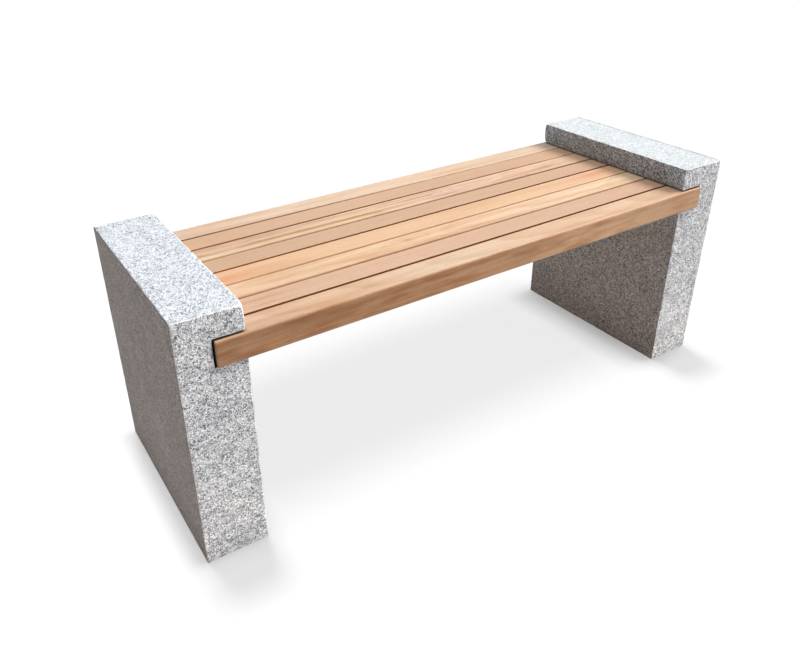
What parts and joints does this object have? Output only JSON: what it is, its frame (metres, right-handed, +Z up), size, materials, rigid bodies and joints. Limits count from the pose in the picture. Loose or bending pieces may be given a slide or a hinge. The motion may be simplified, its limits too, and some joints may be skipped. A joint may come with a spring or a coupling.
{
  "type": "backless bench",
  "caption": "Backless outdoor bench: a hardwood slat seat housed in notched granite slab ends, tied underneath with flat steel bars and angles.",
  "frame": {"origin": "on the floor under the middle of the bench", "axes": "+X along the bench's length, +Y from its front to its rear, +Z up"},
  "size_m": [1.3, 0.4496, 0.5],
  "materials": {
    "granite": "matte",
    "hardwood_cream": "satin",
    "hardwood_rose": "satin",
    "hardwood_amber": "satin",
    "hardwood_peach": "satin",
    "galvanised_steel": "matte",
    "stainless_steel": "satin"
  },
  "bodies": {
    "root": {"anchor_bolt_left_front": "stainless_steel", "anchor_bolt_left_rear": "stainless_steel", "anchor_bolt_right_front": "stainless_steel", "anchor_bolt_right_rear": "stainless_steel", "anchor_sleeve_left_front": "stainless_steel", "anchor_sleeve_left_rear": "stainless_steel", "anchor_sleeve_right_front": "stainless_steel", "anchor_sleeve_right_rear": "stainless_steel", "angle_screw_left_3": "stainless_steel", "angle_screw_left_4": "stainless_steel", "angle_screw_left_5": "stainless_steel", "angle_screw_left_6": "stainless_steel", "angle_screw_right_3": "stainless_steel", "angle_screw_right_4": "stainless_steel", "angle_screw_right_5": "stainless_steel", "angle_screw_right_6": "stainless_steel", "bearer_screw_left_1": "stainless_steel", "bearer_screw_left_2": "stainless_steel", "bearer_screw_left_3": "stainless_steel", "bearer_screw_left_4": "stainless_steel", "bearer_screw_left_5": "stainless_steel", "bearer_screw_left_6": "stainless_steel", "bearer_screw_left_7": "stainless_steel", "bearer_screw_left_8": "stainless_steel", "bearer_screw_middle_1": "stainless_steel", "bearer_screw_middle_2": "stainless_steel", "bearer_screw_middle_3": "stainless_steel", "bearer_screw_middle_4": "stainless_steel", "bearer_screw_middle_5": "stainless_steel", "bearer_screw_middle_6": "stainless_steel", "bearer_screw_middle_7": "stainless_steel", "bearer_screw_middle_8": "stainless_steel", "bearer_screw_right_1": "stainless_steel", "bearer_screw_right_2": "stainless_steel", "bearer_screw_right_3": "stainless_steel", "bearer_screw_right_4": "stainless_steel", "bearer_screw_right_5": "stainless_steel", "bearer_screw_right_6": "stainless_steel", "bearer_screw_right_7": "stainless_steel", "bearer_screw_right_8": "stainless_steel", "cross_bearer_left": "galvanised_steel", "cross_bearer_middle": "galvanised_steel", "cross_bearer_right": "galvanised_steel", "granite_end_left": "granite", "granite_end_right": "granite", "slat_1": "hardwood_cream", "slat_2": "hardwood_rose", "slat_3": "hardwood_amber", "slat_4": "hardwood_amber", "slat_5": "hardwood_rose", "slat_6": "hardwood_peach", "slat_7": "hardwood_peach", "slat_8": "hardwood_cream", "steel_angle_left": "galvanised_steel", "steel_angle_right": "galvanised_steel", "washer_left_front": "stainless_steel", "washer_left_rear": "stainless_steel", "washer_right_front": "stainless_steel", "washer_right_rear": "stainless_steel"}
  },
  "joints": []
}
